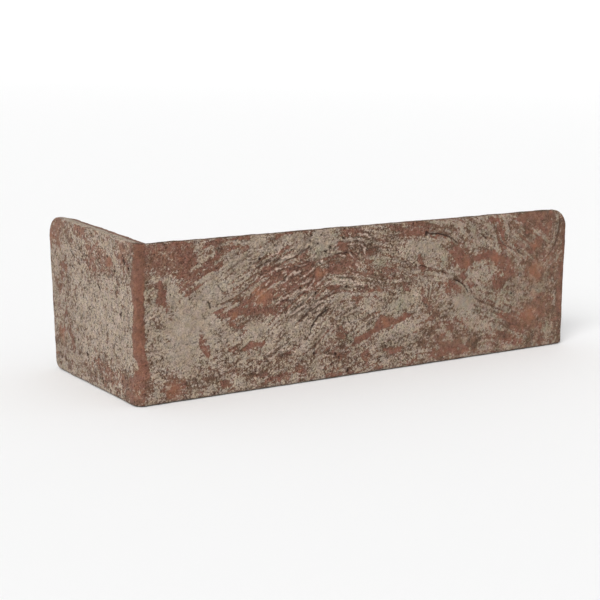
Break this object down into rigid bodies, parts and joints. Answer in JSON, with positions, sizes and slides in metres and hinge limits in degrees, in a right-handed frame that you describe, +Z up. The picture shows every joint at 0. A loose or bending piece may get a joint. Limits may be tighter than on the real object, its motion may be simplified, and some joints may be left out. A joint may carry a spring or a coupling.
{
  "type": "corner brick tile",
  "caption": "L-shaped fired-clay brick tile for the outside corner of a wall: a long stretcher face and a short header face meet at a worn arris, with flat sawn backs behind.",
  "frame": {"origin": "middle of the footprint's bounding box, on the bottom bed", "axes": "+X along the stretcher face, from the arris to the far end; +Y from the stretcher face towards its back, along the return; +Z up, from the bottom bed to the top bed"},
  "size_m": [0.2258, 0.0812, 0.0663],
  "materials": {
    "fired_clay": "matte, red-brown fired clay with a thin grey-beige lime wash"
  },
  "bodies": {
    "root": {"corner_tile": "fired_clay"}
  },
  "joints": []
}
